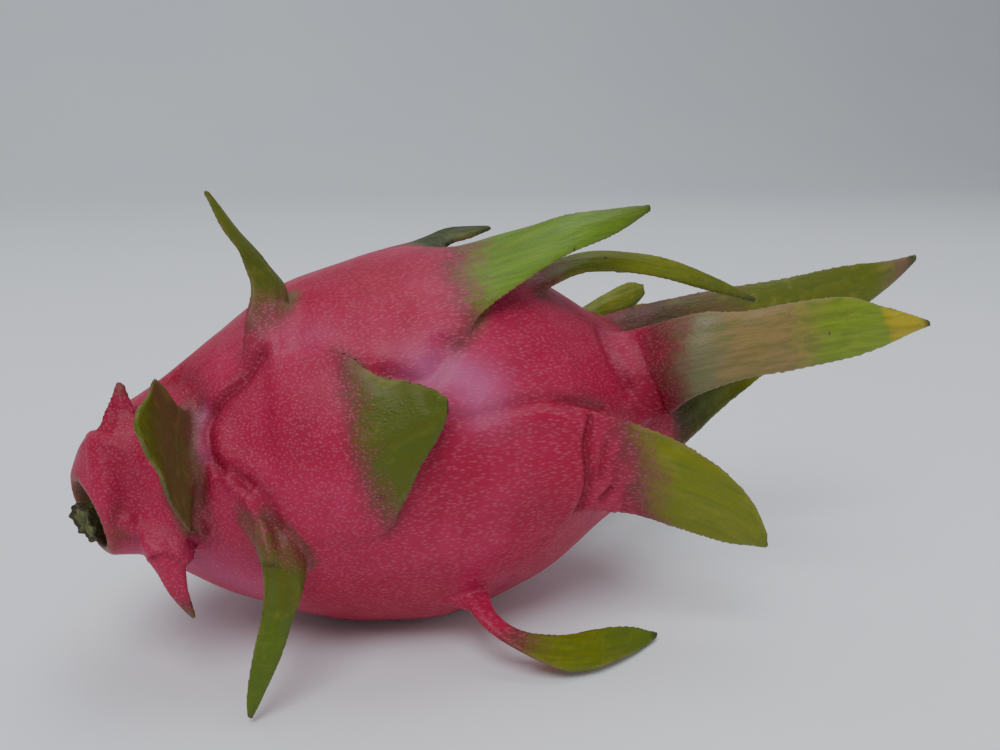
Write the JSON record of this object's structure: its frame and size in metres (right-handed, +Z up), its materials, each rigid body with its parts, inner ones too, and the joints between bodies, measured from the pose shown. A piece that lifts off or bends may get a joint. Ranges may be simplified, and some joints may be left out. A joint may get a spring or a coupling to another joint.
{
  "type": "dragon fruit",
  "caption": "Whole red dragon fruit lying on its side, with leafy green-tipped scales flaring from a pink skin, a cut stem stub and a withered flower in the crown.",
  "frame": {"origin": "middle of the fruit's outline seen from above, on the surface it rests on", "axes": "+X runs along the fruit from the stem end to the crown, +Z is up, -Y is the side the broad front scale is on"},
  "size_m": [0.2054, 0.0957, 0.0949],
  "materials": {
    "skin": "waxy satin skin, pink fading to green along the scales",
    "stem": "dry cut cactus stem",
    "dry_flower": "crumpled dry petals"
  },
  "bodies": {
    "root": {"fruit": "skin", "stem_stub": "stem", "dried_flower": "dry_flower"}
  },
  "joints": []
}
